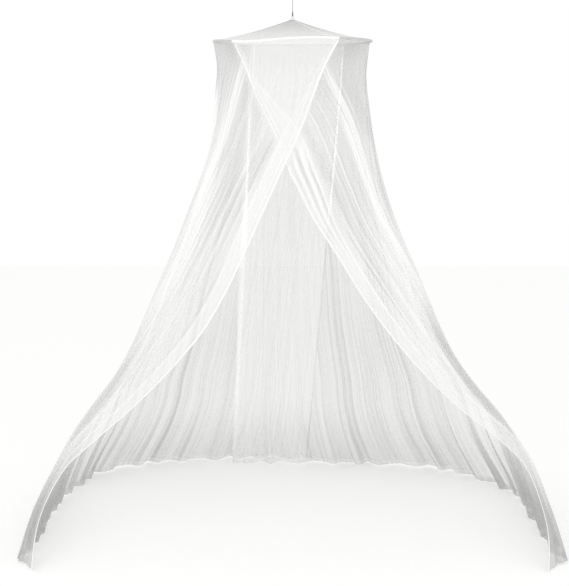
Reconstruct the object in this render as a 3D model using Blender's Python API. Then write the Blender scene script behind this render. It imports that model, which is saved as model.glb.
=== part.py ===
"""Mosquito net canopy: two sheer skirt panels and a net roof on a hoop, hung by a cord.

Units are metres and +Z is up.  The origin is the ceiling point that the cord's top loop
hangs from, so the whole canopy lies below it.  The front, where the two skirt panels
cross and then part, faces -Y.  Heights below are measured up from the hem.
"""
import math
from collections import namedtuple

import bmesh
import bpy
from mathutils import Vector

# Driving dimensions
DROP = 2.36                  # ceiling point down to the hem
HOOP_HEIGHT = 2.10           # hoop above the hem
HOOP_RADIUS = 0.325
HOOP_ROD = 0.003             # radius of the hoop's rod
ROOF_RISE = 0.085            # roof's peak above the hoop
ROOF_SLOPE = 1.42            # how hollow the roof's slope is: 1 would be a straight cone
NET = 0.0012                 # thickness of the net as modelled
GAP = 0.0003                 # between pieces that touch
ROUND_STEPS = 56             # steps around the hoop, its band and the roof

# The folded tape that is sewn over the hoop and takes the roof's and the skirt's edges
BAND_WALL = 0.0012
BAND_HALF = 0.0045           # from the hoop's circle to the middle of each wall
BAND_DROP = 0.009            # from the hoop's plane to the walls' lower edges

# The skirt's section is the hoop's circle at the top.  By the hem its front and back halves
# reach this far from the hoop's middle and are this square: 2 is an ellipse, and more has
# squarer corners.  The powers say how late each change comes on the way down.
FRONT_REACH = 0.60
FRONT_REACH_POWER = 1.4
BACK_REACH = 1.05
BACK_REACH_POWER = 1.5
FRONT_SQUARENESS = 6.0
FRONT_SQUARENESS_POWER = 2.2
BACK_SQUARENESS = 3.2

# Where the panels overlap, the left one lies outside the right one
LAYER_SIDE = {"right": -1, "left": 1}
LAYER_STEP = 0.040           # how far each has left the middle surface by the hem
OVERLAP_FROM = 0.25          # the layers part where the wall faces this much to front or back,
OVERLAP_FADE = 0.35          # and are fully apart this much further on
FRONT_LAYER_END = 0.45       # share of the fall by which the parted fronts are level again
BACK_EDGE_TOP = {"right": -0.178, "left": 0.220}     # X of the panels' back edges
BACK_EDGE_HEM = {"right": -0.305, "left": 0.088}

# Folds
FOLDS = 17                   # main folds in each panel
FOLD_WIDTH_VARIES = 0.38     # shares by which the folds differ from one another
FOLD_DEPTH_VARIES = 0.35
FOLD_DEPTH = 0.024           # half the depth of a usual fold at the hem
FOLD_POWER = 1.05            # how late a usual fold deepens on the way down
FOLD_POWER_VARIES = 0.30
HEM_UNEVEN = 0.007           # how far the hem rises and falls
HEM_WAVES = 23.0             # radians of that rise and fall along a panel
FRONT_MARGIN = 0.036         # flat strip beside the front edge, as a share of the panel
BACK_MARGIN = 0.020
FOLD_SEED = {"right": 0.4, "left": 2.3}
SKIRT_ROWS = 18
WALL_STEPS = 160             # steps along a section when its length is measured

# Edge tapes
TAPE_WIDTH = 0.012
TAPE = 0.0010

# Cord and what is on it
CORD_RADIUS = 0.0015
LOOP_WIDTH = 0.022
LOOP_LENGTH = 0.040
KNOT_RADIUS = 0.0038
KNOT_LENGTH = 0.009
FERRULE_RADIUS = 0.0030
FERRULE_LENGTH = 0.018
CAP_RADIUS = 0.015
CAP_HEIGHT = 0.012
ROOF_HOLE = 0.005            # radius of the hole that the cap fills

# Sections through the skirt, from the hoop down to the hem.  The widths are to the right and
# to the left of the middle.  The edges are the panels' front edges, in degrees around the
# section from the front, with positive toward +X.
Section = namedtuple("Section", "height right_width left_width right_edge left_edge")
SECTIONS = (
    Section(2.10, 0.325, 0.325, -48.0, 34.1),
    Section(2.00, 0.312, 0.306, -39.2, 24.0),
    Section(1.90, 0.312, 0.311, -30.0, 16.0),
    Section(1.70, 0.341, 0.332, -10.0, 1.8),
    Section(1.55, 0.368, 0.372, -0.1, -7.2),
    Section(1.40, 0.411, 0.424, 8.1, -13.6),
    Section(1.25, 0.472, 0.481, 16.6, -18.2),
    Section(1.10, 0.541, 0.547, 22.2, -21.6),
    Section(0.95, 0.599, 0.611, 29.4, -26.0),
    Section(0.80, 0.672, 0.680, 37.9, -33.9),
    Section(0.65, 0.774, 0.768, 47.0, -43.5),
    Section(0.50, 0.900, 0.882, 59.4, -54.0),
    Section(0.36, 0.986, 0.964, 71.5, -67.5),
    Section(0.18, 1.053, 1.048, 70.0, -69.0),
    Section(0.00, 1.107, 1.104, 51.0, -56.0),
)

COLOURS = {
    # name: (red, green, blue, roughness, metallic), colour in linear values
    "net": (0.86, 0.86, 0.84, 0.80, 0.0),
    "tape": (0.93, 0.93, 0.92, 0.70, 0.0),
    "rod": (0.80, 0.80, 0.80, 0.35, 0.0),
    "cord": (0.55, 0.55, 0.55, 0.75, 0.0),
    "ferrule": (0.16, 0.16, 0.17, 0.45, 0.6),
}


def clear_scene():
    for old in list(bpy.data.objects):
        bpy.data.objects.remove(old, do_unlink=True)


def make_materials():
    materials = {}
    for name, (red, green, blue, roughness, metallic) in COLOURS.items():
        material = bpy.data.materials.new(name)
        material.use_nodes = True
        shader = material.node_tree.nodes["Principled BSDF"]
        shader.inputs["Base Color"].default_value = (red, green, blue, 1.0)
        shader.inputs["Roughness"].default_value = roughness
        shader.inputs["Metallic"].default_value = metallic
        materials[name] = material
    return materials


def add_object(name, data, material, location=(0.0, 0.0, 0.0)):
    piece = bpy.data.objects.new(name, data)
    piece.location = location
    data.materials.append(material)
    bpy.context.scene.collection.objects.link(piece)
    return piece


def level(height):
    """The Z of a height above the hem."""
    return height - DROP


# --- turned pieces: hoop, band, roof, cap, ferrule and knot ---------------------------------

def turned(name, profile, steps, material, location):
    """Turns a closed profile of (radius, z) points about the Z axis."""
    mesh = bpy.data.meshes.new(name)
    shape = bmesh.new()
    rings = []
    for step in range(steps):
        angle = math.tau * step / steps
        rings.append([shape.verts.new((radius * math.cos(angle), radius * math.sin(angle), z))
                      for radius, z in profile])
    for ring, following in zip(rings, rings[1:] + rings[:1]):
        for index in range(len(profile)):
            beyond = (index + 1) % len(profile)
            if profile[index][0] == 0.0 and profile[beyond][0] == 0.0:
                continue
            shape.faces.new((ring[index], following[index], following[beyond], ring[beyond]))
    bmesh.ops.remove_doubles(shape, verts=shape.verts, dist=0.000001)
    bmesh.ops.recalc_face_normals(shape, faces=shape.faces)
    shape.to_mesh(mesh)
    shape.free()
    mesh.shade_smooth()
    mesh.set_sharp_from_angle(angle=math.radians(40))
    return add_object(name, mesh, material, location)


def roof_height(radius):
    """Height of the roof's under side above its rim."""
    return ROOF_RISE * (1.0 - radius / HOOP_RADIUS) ** ROOF_SLOPE


def add_hoop(materials):
    sides = 8
    profile = [(HOOP_RADIUS + HOOP_ROD * math.cos(math.tau * side / sides),
                HOOP_ROD * math.sin(math.tau * side / sides)) for side in range(sides)]
    turned("hoop", profile, ROUND_STEPS, materials["rod"], (0.0, 0.0, level(HOOP_HEIGHT)))


def band_top():
    """Top of the hoop band above the hoop's plane."""
    return HOOP_ROD + GAP + BAND_WALL


def add_hoop_band(materials):
    outer = BAND_HALF + BAND_WALL / 2
    inner = BAND_HALF - BAND_WALL / 2
    ceiling = HOOP_ROD + GAP
    profile = [
        (HOOP_RADIUS + outer, -BAND_DROP),
        (HOOP_RADIUS + outer, band_top()),
        (HOOP_RADIUS - outer, band_top()),
        (HOOP_RADIUS - outer, -BAND_DROP),
        (HOOP_RADIUS - inner, -BAND_DROP),
        (HOOP_RADIUS - inner, ceiling),
        (HOOP_RADIUS + inner, ceiling),
        (HOOP_RADIUS + inner, -BAND_DROP),
    ]
    turned("hoop_band", profile, ROUND_STEPS, materials["tape"], (0.0, 0.0, level(HOOP_HEIGHT)))


def add_roof(materials):
    shares = (1.0, 0.80, 0.60, 0.42, 0.26, 0.13, ROOF_HOLE / HOOP_RADIUS)
    radii = [HOOP_RADIUS * share for share in shares]
    top = [(radius, roof_height(radius) + NET) for radius in radii]
    under = [(radius, roof_height(radius)) for radius in reversed(radii)]
    base = level(HOOP_HEIGHT) + band_top() + GAP
    turned("roof_net", top + under, ROUND_STEPS, materials["net"], (0.0, 0.0, base))
    return base


def add_apex_pieces(materials, roof_base):
    """The gathered tip of the roof and the ferrule that the cord comes out of."""
    rests = GAP + NET
    radii = (CAP_RADIUS, (CAP_RADIUS + ROOF_HOLE) / 2, ROOF_HOLE)
    under = [(radius, roof_height(radius) + rests) for radius in radii]
    peak = under[-1][1] + CAP_HEIGHT
    outside = [
        (0.0, peak),
        (FERRULE_RADIUS, peak),
        (FERRULE_RADIUS * 1.8, peak - CAP_HEIGHT * 0.35),
        (CAP_RADIUS * 0.55, under[1][1] + CAP_HEIGHT * 0.25),
    ]
    profile = outside + under + [(0.0, under[-1][1])]
    turned("apex_cap", profile, 20, materials["net"], (0.0, 0.0, roof_base))
    foot = roof_base + peak + GAP
    ferrule = [(0.0, FERRULE_LENGTH), (CORD_RADIUS * 1.2, FERRULE_LENGTH),
               (FERRULE_RADIUS, FERRULE_LENGTH * 0.3), (FERRULE_RADIUS, 0.0), (0.0, 0.0)]
    turned("cord_ferrule", ferrule, 12, materials["ferrule"], (0.0, 0.0, foot))
    return foot + FERRULE_LENGTH


# --- cord -----------------------------------------------------------------------------------

def add_tube(name, points, closed, material):
    curve = bpy.data.curves.new(name, "CURVE")
    curve.dimensions = "3D"
    curve.bevel_depth = CORD_RADIUS
    curve.bevel_resolution = 2
    curve.use_fill_caps = True
    spline = curve.splines.new("POLY")
    spline.points.add(len(points) - 1)
    for place, point in zip(spline.points, points):
        place.co = (*point, 1.0)
    spline.use_cyclic_u = closed
    return add_object(name, curve, material)


def add_cord(materials, ferrule_top):
    """The hanging cord, with the knot that closes the ceiling loop at its top."""
    loop_centre = -LOOP_LENGTH / 2
    knot_top = -LOOP_LENGTH - GAP
    cord_top = knot_top - KNOT_LENGTH - GAP
    cord_foot = ferrule_top + GAP
    steps = round((cord_top - cord_foot) / (5 * CORD_RADIUS))
    add_tube("hanging_cord",
             [Vector((0.0, 0.0, cord_foot + (cord_top - cord_foot) * step / steps))
              for step in range(steps + 1)], False, materials["cord"])
    sides = 24
    add_tube("ceiling_loop",
             [Vector(((LOOP_WIDTH / 2 - CORD_RADIUS) * math.sin(math.tau * side / sides), 0.0,
                      loop_centre + (LOOP_LENGTH / 2 - CORD_RADIUS)
                      * math.cos(math.tau * side / sides)))
              for side in range(sides)], True, materials["cord"])
    half = KNOT_LENGTH / 2
    knot = [(KNOT_RADIUS * math.sin(math.pi * step / 6), half * math.cos(math.pi * step / 6))
            for step in range(7)]
    knot[0] = (0.0, half)
    knot[-1] = (0.0, -half)
    turned("loop_knot", knot, 12, materials["cord"], (0.0, 0.0, knot_top - half))


# --- skirt ----------------------------------------------------------------------------------

def section_at(height):
    """The skirt's section at a height, from a smooth curve through the table's rows."""
    last = len(SECTIONS) - 1
    upper = max(index for index in range(last) if SECTIONS[index].height >= height)
    around = [SECTIONS[min(max(index, 0), last)] for index in range(upper - 1, upper + 3)]
    span = around[1].height - around[2].height
    share = (around[1].height - height) / span
    values = [height]
    for before, start, end, after in list(zip(*around))[1:]:
        leaving = (end - before) / (around[0].height - around[2].height) * span
        arriving = (after - start) / (around[1].height - around[3].height) * span
        values.append((2 * share ** 3 - 3 * share ** 2 + 1) * start
                      + (share ** 3 - 2 * share ** 2 + share) * leaving
                      + (3 * share ** 2 - 2 * share ** 3) * end
                      + (share ** 3 - share ** 2) * arriving)
    return Section(*values)


def fallen(height):
    """0 at the hoop and 1 at the hem."""
    return 1.0 - height / HOOP_HEIGHT


def signed_power(value, power):
    return math.copysign(abs(value) ** power, value)


def back_squareness(fall):
    return 2.0 + (BACK_SQUARENESS - 2.0) * fall


def wall_point(section, angle):
    """A point of the skirt's smooth section in plan; the angle runs from the front to +X."""
    fall = fallen(section.height)
    if math.cos(angle) > 0.0:
        reach = HOOP_RADIUS + (FRONT_REACH - HOOP_RADIUS) * fall ** FRONT_REACH_POWER
        squareness = 2.0 + (FRONT_SQUARENESS - 2.0) * fall ** FRONT_SQUARENESS_POWER
    else:
        reach = HOOP_RADIUS + (BACK_REACH - HOOP_RADIUS) * fall ** BACK_REACH_POWER
        squareness = back_squareness(fall)
    width = section.right_width if math.sin(angle) > 0.0 else section.left_width
    return Vector((width * signed_power(math.sin(angle), 2.0 / squareness),
                   -reach * signed_power(math.cos(angle), 2.0 / squareness), 0.0))


def edge_angles(panel, section):
    """Where the panel's front edge and back edge cross the section, in radians.  The back
    edge lies a little past the middle of the back."""
    fall = fallen(section.height)
    place = BACK_EDGE_TOP[panel] + (BACK_EDGE_HEM[panel] - BACK_EDGE_TOP[panel]) * fall
    width = section.left_width if place < 0.0 else section.right_width
    turn = math.pi + math.asin((abs(place) / width) ** (back_squareness(fall) / 2.0))
    if panel == "right":
        return math.radians(section.right_edge), turn
    return math.radians(section.left_edge), -turn


def wall_line(panel, height):
    """The panel's smooth course in plan at a height, from its front edge to its back edge,
    as (length so far, point, outward direction)."""
    section = section_at(height)
    start, end = edge_angles(panel, section)
    points = [wall_point(section, start + (end - start) * step / WALL_STEPS)
              for step in range(WALL_STEPS + 1)]
    line = []
    length = 0.0
    for index, point in enumerate(points):
        along = points[min(index + 1, WALL_STEPS)] - points[max(index - 1, 0)]
        outward = Vector((along.y, -along.x, 0.0)).normalized()
        length += (point - points[max(index - 1, 0)]).length
        line.append((length, point, outward if panel == "right" else -outward))
    return line


def layer_offset(panel, fall, outward):
    """How far the panel lies off the middle surface, so that one passes the other."""
    overlap = min(max((abs(outward.y) - OVERLAP_FROM) / OVERLAP_FADE, 0.0), 1.0)
    if outward.y < 0.0:
        overlap *= max(1.0 - fall / FRONT_LAYER_END, 0.0) ** 0.5
    return LAYER_SIDE[panel] * (BAND_HALF + LAYER_STEP * fall * overlap)


def skirt_point(panel, line, height, column):
    """The panel's point on one of its columns, at a height."""
    wanted = column.across * line[-1][0]
    index = max(min(sum(length < wanted for length, _, _ in line), WALL_STEPS), 1)
    before, after = line[index - 1], line[index]
    share = (wanted - before[0]) / (after[0] - before[0])
    place = before[1].lerp(after[1], share)
    outward = before[2].lerp(after[2], share).normalized()
    fall = fallen(height)
    depth = FOLD_DEPTH * column.fold * fall ** column.power
    place += outward * (layer_offset(panel, fall, outward) + depth)
    rise = HEM_UNEVEN * (1.0 + math.sin(HEM_WAVES * column.across)) / 2
    place.z = level(height) + rise * fall ** 4
    return place


# across runs from the front edge to the back edge.  fold is how far the net stands out at
# the hem, from about -1 in a trough to 1 on a crest, and power is how late it deepens.
Column = namedtuple("Column", "across fold power")


def fold_columns(panel):
    """The panel's columns: flat margins at its edges and uneven folds between them.  The
    sines below step out of time with one another, so that no two folds are alike."""
    seed = FOLD_SEED[panel]
    widths = [1.0 + FOLD_WIDTH_VARIES * math.sin(1.9 * index + seed) for index in range(FOLDS)]
    room = (1.0 - FRONT_MARGIN - BACK_MARGIN) / sum(widths)
    across = FRONT_MARGIN
    columns = [Column(across, 0.0, 1.0)]
    for index, width in enumerate(widths):
        crest = 1.0 + FOLD_DEPTH_VARIES * math.sin(2.7 * index + seed)
        trough = -1.0 - FOLD_DEPTH_VARIES * math.sin(2.2 * index + 2.0 * seed)
        power = FOLD_POWER + FOLD_POWER_VARIES * math.sin(3.1 * index + seed)
        for share, fold in ((0.28, crest), (0.52, 0.0), (0.76, trough), (1.0, 0.0)):
            columns.append(Column(across + width * room * share, fold, power))
        across += width * room
    return columns


def beside(edge, inward):
    """The point a tape's width in from an edge point."""
    return edge + (inward - edge).normalized() * TAPE_WIDTH


def skirt_rows(panel):
    """Rows of points from the top of the panel to its hem, with a column under each side of
    each edge tape."""
    rows = []
    top = HOOP_HEIGHT - BAND_DROP - GAP
    columns = fold_columns(panel)
    for step in range(SKIRT_ROWS + 1):
        height = top * (1.0 - step / SKIRT_ROWS)
        line = wall_line(panel, height)
        row = [skirt_point(panel, line, height, column) for column in columns]
        front = skirt_point(panel, line, height, Column(0.0, 0.0, 1.0))
        back = skirt_point(panel, line, height, Column(1.0, 0.0, 1.0))
        rows.append([front, beside(front, row[0])] + row + [beside(back, row[-1]), back])
    return rows


def add_sheet(name, rows, thickness, material):
    """A sheet of even thickness on a grid of points, closed at its rims."""
    mesh = bpy.data.meshes.new(name)
    shape = bmesh.new()
    grid = [[shape.verts.new(point) for point in row] for row in rows]
    for upper, lower in zip(grid, grid[1:]):
        for index in range(len(upper) - 1):
            shape.faces.new((upper[index], upper[index + 1], lower[index + 1], lower[index]))
    shape.to_mesh(mesh)
    shape.free()
    mesh.shade_smooth()
    piece = add_object(name, mesh, material)
    solid = piece.modifiers.new("thickness", "SOLIDIFY")
    solid.thickness = thickness
    solid.offset = 0.0
    return piece


def add_skirt(materials):
    for panel in ("right", "left"):
        rows = skirt_rows(panel)
        if panel == "left":
            rows = [list(reversed(row)) for row in rows]
        add_sheet(f"{panel}_skirt_panel", rows, NET, materials["net"])


def add_edge_tapes(materials):
    """The narrow tape along each free edge, on the panel's outer face."""
    lift = NET / 2 + GAP + TAPE / 2
    for panel in ("right", "left"):
        rows = skirt_rows(panel)
        for edge, (outer, inner) in {"front": (0, 1), "back": (-1, -2)}.items():
            tape = []
            for index, row in enumerate(rows):
                along = (row[inner] - row[outer]).normalized()
                neighbour = rows[index + 1 if index == 0 else index - 1]
                down = (neighbour[outer] - row[outer]).normalized()
                outward = along.cross(down).normalized()
                if outward.dot(Vector((row[outer].x, row[outer].y, 0.0))) < 0.0:
                    outward = -outward
                tape.append([row[outer] + outward * lift, row[inner] + outward * lift])
            if (panel == "left") != (edge == "back"):
                tape = [list(reversed(pair)) for pair in tape]
            add_sheet(f"{panel}_{edge}_edge_tape", tape, TAPE, materials["tape"])


def main():
    clear_scene()
    materials = make_materials()
    add_hoop(materials)
    add_hoop_band(materials)
    roof_base = add_roof(materials)
    ferrule_top = add_apex_pieces(materials, roof_base)
    add_cord(materials, ferrule_top)
    add_skirt(materials)
    add_edge_tapes(materials)


main()
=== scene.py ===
"""Dresses the mosquito net canopy: sheer gathered net panels and roof, woven tapes, hoop and
twisted hanging cord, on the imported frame.

Units are metres.  The origin is the ceiling point that the cord's loop hangs from, +Z is up and
the open front faces -Y.  Heights are measured up from the hem.
"""
import math
from collections import namedtuple

import bpy
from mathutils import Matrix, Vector, noise


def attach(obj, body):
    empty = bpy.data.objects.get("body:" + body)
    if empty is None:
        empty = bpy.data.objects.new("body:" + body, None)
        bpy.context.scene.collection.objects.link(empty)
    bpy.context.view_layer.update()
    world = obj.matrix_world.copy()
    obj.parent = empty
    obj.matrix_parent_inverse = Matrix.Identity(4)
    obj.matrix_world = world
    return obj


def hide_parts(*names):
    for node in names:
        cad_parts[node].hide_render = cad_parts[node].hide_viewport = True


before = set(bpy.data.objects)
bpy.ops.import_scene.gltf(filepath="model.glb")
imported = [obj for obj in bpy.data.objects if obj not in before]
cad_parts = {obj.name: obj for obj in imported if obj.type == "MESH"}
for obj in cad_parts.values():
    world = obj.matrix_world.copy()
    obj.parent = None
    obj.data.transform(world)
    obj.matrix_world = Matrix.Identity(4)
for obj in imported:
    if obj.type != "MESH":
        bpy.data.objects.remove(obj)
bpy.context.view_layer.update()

bl_info = {
    "name": "Mosquito Net Canopy",
    "version": (1, 0, 0),
    "blender": (4, 5, 0),
    "location": "3D View > Sidebar > Canopy",
    "description": "Makes a sheer bed canopy of gathered netting on a hoop",
    "category": "Add Mesh",
}

# Shape of the canopy, with the same values as its solids
DROP = 2.36                  # ceiling point down to the hem
HOOP_HEIGHT = 2.10           # hoop above the hem
HOOP_RADIUS = 0.325
HOOP_ROD = 0.003             # radius of the rod
ROOF_RISE = 0.085            # apex above the hoop
ROOF_SLOPE = 1.42            # how hollow the roof's slope is: 1 would be a straight cone
ROOF_HOLE = 0.005            # radius of the hole that the gathered tip fills
BAND_WALL = 0.0012           # wall of the binding that is folded over the hoop
BAND_HALF = 0.0045           # from the hoop's circle to the middle of that wall
NET = 0.0012                 # thickness that the net's solids have
GAP = 0.0003                 # clearance between neighbouring solids

# By the hem the skirt's front and back halves reach this far from the hoop's middle and are
# this square: 2 is an ellipse.  The powers say how late each change comes on the way down.
FRONT_REACH = 0.60
FRONT_REACH_POWER = 1.4
BACK_REACH = 1.05
BACK_REACH_POWER = 1.5
FRONT_SQUARENESS = 6.0
FRONT_SQUARENESS_POWER = 2.2
BACK_SQUARENESS = 3.2

# Where the panels overlap, the left one lies outside the right one: how far each has left
# the middle surface by the hem, and where along and down the skirt the layers part
LAYER_SIDE = {"right": -1, "left": 1}
LAYER_STEP = 0.040
OVERLAP_FROM = 0.25
OVERLAP_FADE = 0.35
FRONT_LAYER_END = 0.45
BACK_EDGE_TOP = {"right": -0.178, "left": 0.220}
BACK_EDGE_HEM = {"right": -0.305, "left": 0.088}

# Main folds, and the flat margins beside them as shares of the panel
FOLDS = 17
FOLD_WIDTH_VARIES = 0.38
FOLD_DEPTH_VARIES = 0.35
FOLD_DEPTH = 0.024           # half the depth of a usual fold at the hem
FOLD_POWER = 1.05            # how late it deepens on the way down
FOLD_POWER_VARIES = 0.30
FOLD_SEED = {"right": 0.4, "left": 2.3}
FRONT_MARGIN = 0.036
BACK_MARGIN = 0.020
HEM_UNEVEN = 0.007           # how far the hem rises and falls
HEM_WAVES = 23.0             # radians of that along a panel
WALL_STEPS = 160             # steps along a section when its length is measured

# Edge tapes
TAPE = 0.0010

# Cord and what is on it
CORD_RADIUS = 0.0015
CORD_LAY = 0.0088            # length of one turn of the cord's three strands
STRAND_GROOVE = 0.68         # radius in the grooves between them, as a share of its own
LOOP_WIDTH = 0.022
LOOP_LENGTH = 0.040
KNOT_RADIUS = 0.0038
KNOT_LENGTH = 0.009
FERRULE_RADIUS = 0.0030
FERRULE_LENGTH = 0.018
CAP_RADIUS = 0.015
CAP_HEIGHT = 0.012

# Sections through the skirt.  The widths are to the right and to the left of the middle, and
# the panels' front edges are in degrees around from the front, with positive toward +X.
Section = namedtuple("Section", "height right_width left_width right_edge left_edge")
SECTIONS = (
    Section(2.10, 0.325, 0.325, -48.0, 34.1),
    Section(2.00, 0.312, 0.306, -39.2, 24.0),
    Section(1.90, 0.312, 0.311, -30.0, 16.0),
    Section(1.70, 0.341, 0.332, -10.0, 1.8),
    Section(1.55, 0.368, 0.372, -0.1, -7.2),
    Section(1.40, 0.411, 0.424, 8.1, -13.6),
    Section(1.25, 0.472, 0.481, 16.6, -18.2),
    Section(1.10, 0.541, 0.547, 22.2, -21.6),
    Section(0.95, 0.599, 0.611, 29.4, -26.0),
    Section(0.80, 0.672, 0.680, 37.9, -33.9),
    Section(0.65, 0.774, 0.768, 47.0, -43.5),
    Section(0.50, 0.900, 0.882, 59.4, -54.0),
    Section(0.36, 0.986, 0.964, 71.5, -67.5),
    Section(0.18, 1.053, 1.048, 70.0, -69.0),
    Section(0.00, 1.107, 1.104, 51.0, -56.0),
)

# Studio
FLOOR_SIZE = 18.0
FLOOR_BELOW = 0.003          # how far the floor lies below the hem

# Netting
PANEL_CUT = (3.66, 2.38)     # each flared panel laid flat: its hem and its length
GATHER_STEPS = 8             # columns in each gather
PANEL_ROWS = 96
HEM_TURNED = 0.022           # turned up at the bottom
FRONT_TURNED = (0.022, 0.064)  # turned back down the front edges, at the hoop and lower
BACK_TURNED = 0.016          # and down the back edges
FOLD_LINE = 0.0040           # half the width of the raw edge that shows inside the turning
PLEAT_DEPTH = 0.0045         # how far a full pleat stands out at the hem
TUCK = 0.0013                # how far the net moves in to go up behind the binding
EDGE_SWING = {"right": 0.041, "left": 0.0}  # the most that a front margin widens to cross
ROOF_GATHERS = 44
ROOF_ROWS = 44
SEAM_ANGLE = 33.0            # the roof's seam, in degrees around from the front
SEAM_WIDTH = 0.005
# Across the welt: sides as shares of half its width, and how far each stands up
SEAM_WELT = ((-1.0, 0.0002), (-0.6, 0.0011), (0.6, 0.0011), (1.0, 0.0002))
SEAM_LAYERS = 12.0           # layers of net folded into the welt
ROOF_TURN = 0.32             # metres of roof net to a radian, for its threads
BAND_SEEN = 0.0030           # how far the binding hangs below the hoop's plane
HOOP_BEND = 0.014            # the rod has one slight bend: how far it dips there,
HOOP_BEND_AT = -33.0         # where that is, in degrees around from the front,
HOOP_BEND_SPREAD = 28.0      # and how far it reaches to each side
BEND_FADES = (1.50, 2.08)    # heights from which and up to which the net takes the dip up
TAPE_SEEN = 0.0095           # width of an edge tape that its stitches leave flat
TAPE_BELOW = 0.007           # how far below the hoop it begins
TAPE_PROFILE = ((0.0, -0.5), (0.0, 0.30), (0.04, 0.5), (0.5, 0.62), (0.96, 0.5), (1.0, 0.30),
                (1.0, -0.5))  # round an edge tape, as shares of its width and thickness

WHITE = (1.0, 1.0, 1.0, 1.0)


def linear(hex_colour):
    """The linear colour of an sRGB hex value such as "F2F0EB"."""
    values = [int(hex_colour[at:at + 2], 16) / 255.0 for at in (0, 2, 4)]
    return tuple(value / 12.92 if value <= 0.04045 else ((value + 0.055) / 1.055) ** 2.4
                 for value in values)


# --- settings -------------------------------------------------------------------------------

class CanopyCloth(bpy.types.PropertyGroup):
    """How the netting is gathered."""
    gathers: bpy.props.IntProperty(
        name="Gathers", description="Fine gathers in each panel", default=92, min=20, max=200)
    gather_depth: bpy.props.FloatProperty(
        name="Gather depth", description="Half the depth of a usual gather at the hem",
        default=0.0052, min=0.0, max=0.02, unit="LENGTH")
    sheerness: bpy.props.FloatProperty(
        name="Sheerness", description="Share of the light that one flat layer lets through",
        default=0.82, min=0.0, max=1.0, subtype="FACTOR")


COLOUR = {"subtype": "COLOR", "size": 3, "min": 0.0, "max": 1.0}


class CanopyColours(bpy.types.PropertyGroup):
    """Colours of the canopy's materials."""
    net: bpy.props.FloatVectorProperty(
        name="Net", description="Netting where it is doubled or bunched",
        default=linear("FCFCFB"), **COLOUR)
    # Its grey also carries the net's painted shade
    open_and_shaded_net: bpy.props.FloatVectorProperty(
        name="Open net", description="Netting where it is drawn smooth",
        default=linear("BDBDBC"), **COLOUR)
    tape: bpy.props.FloatVectorProperty(
        name="Tape", description="Edge tapes, hoop binding and roof seam",
        default=linear("FBFBFA"), **COLOUR)
    cord: bpy.props.FloatVectorProperty(
        name="Cord", description="Hanging cord and its loop", default=linear("B9B9B7"),
        **COLOUR)
    ferrule: bpy.props.FloatVectorProperty(
        name="Ferrule", description="Sleeve that the cord comes out of",
        default=linear("6C6C6F"), **COLOUR)
    rod: bpy.props.FloatVectorProperty(
        name="Rod", description="Hoop rod", default=linear("F0F0EE"), **COLOUR)
    floor: bpy.props.FloatVectorProperty(
        name="Floor", description="Studio floor", default=linear("F7F7F6"), **COLOUR)


class CanopyStage(bpy.types.PropertyGroup):
    """Studio and camera."""
    camera_away: bpy.props.FloatProperty(
        name="Camera distance", description="From the canopy's axis to the camera",
        default=5.2, unit="LENGTH")
    camera_height: bpy.props.FloatProperty(
        name="Camera height", description="Camera above the hem", default=1.835, unit="LENGTH")
    camera_side: bpy.props.FloatProperty(
        name="Camera to the left", description="Camera to the left of the canopy's axis",
        default=0.0335, unit="LENGTH")
    camera_tilt: bpy.props.FloatProperty(
        name="Camera tilt", description="How far the camera looks down",
        default=math.radians(8.62), subtype="ANGLE")
    focal_length: bpy.props.FloatProperty(
        name="Focal length", description="For a 36 mm sensor", default=75.7,
        subtype="DISTANCE_CAMERA")


# --- meshes and nodes -----------------------------------------------------------------------

def smooth_step(value, start, end):
    """0 up to the start, 1 from the end on, and a smooth rise between."""
    share = min(max((value - start) / (end - start), 0.0), 1.0)
    return share * share * (3.0 - 2.0 * share)


def level(height):
    """The Z of a height above the hem."""
    return height - DROP


def place_in_scene(name, data):
    """Makes an object and links it into the scene."""
    thing = bpy.data.objects.new(name, data)
    bpy.context.scene.collection.objects.link(thing)
    return thing


def add_piece(mesh, node, slot, *materials):
    """Puts a piece into the scene on the canopy's one body, in place of a node."""
    for material in materials:
        mesh.materials.append(material)
    piece = place_in_scene(mesh.name, mesh)
    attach(piece, "root")
    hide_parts(node)
    return piece


def grid_faces(rows, columns, closed=False, ring=False):
    """Faces of a grid of points that are numbered row by row.  A closed grid's rows meet
    themselves, and in a ring the last row meets the first one too."""
    across = columns if closed else columns - 1
    down = rows if ring else rows - 1
    return [(row * columns + at, row * columns + (at + 1) % columns,
             (row + 1) % rows * columns + (at + 1) % columns, (row + 1) % rows * columns + at)
            for row in range(down) for at in range(across)]


def capped_faces(rows, columns):
    """Faces of a closed grid with a face over each end."""
    return [*grid_faces(rows, columns, closed=True), tuple(reversed(range(columns))),
            tuple(range((rows - 1) * columns, rows * columns))]


def flipped(faces):
    return [tuple(reversed(face)) for face in faces]


def hung(point):
    """A point with the dip of the hoop's bend, which the roof takes up above and the skirt
    below."""
    x, y, z = point
    turn = math.degrees(math.atan2(x, -y))
    dip = HOOP_BEND * math.exp(-((turn - HOOP_BEND_AT) / HOOP_BEND_SPREAD) ** 2)
    dip *= min(math.hypot(x, y) / HOOP_RADIUS, 1.0) ** 3
    return x, y, z - dip * smooth_step(z, level(BEND_FADES[0]), level(BEND_FADES[1]))


def make_mesh(name, points, faces, uvs=None, values=None, sharp=None):
    """A smooth mesh, with UVs in metres and named values at its points if given.  Edges that
    turn by more degrees than sharp stay crisp."""
    mesh = bpy.data.meshes.new(name)
    mesh.from_pydata([hung(point) for point in points], [], faces)
    if uvs is not None:
        uv_layer = mesh.uv_layers.new(name="cloth")
        for loop in mesh.loops:
            uv_layer.data[loop.index].uv = uvs[loop.vertex_index]
    for label, numbers in (values or {}).items():
        mesh.attributes.new(label, "FLOAT", "POINT").data.foreach_set("value", numbers)
    mesh.shade_smooth()
    if sharp is not None:
        mesh.set_sharp_from_angle(angle=math.radians(sharp))
    mesh.update()
    return mesh


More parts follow.
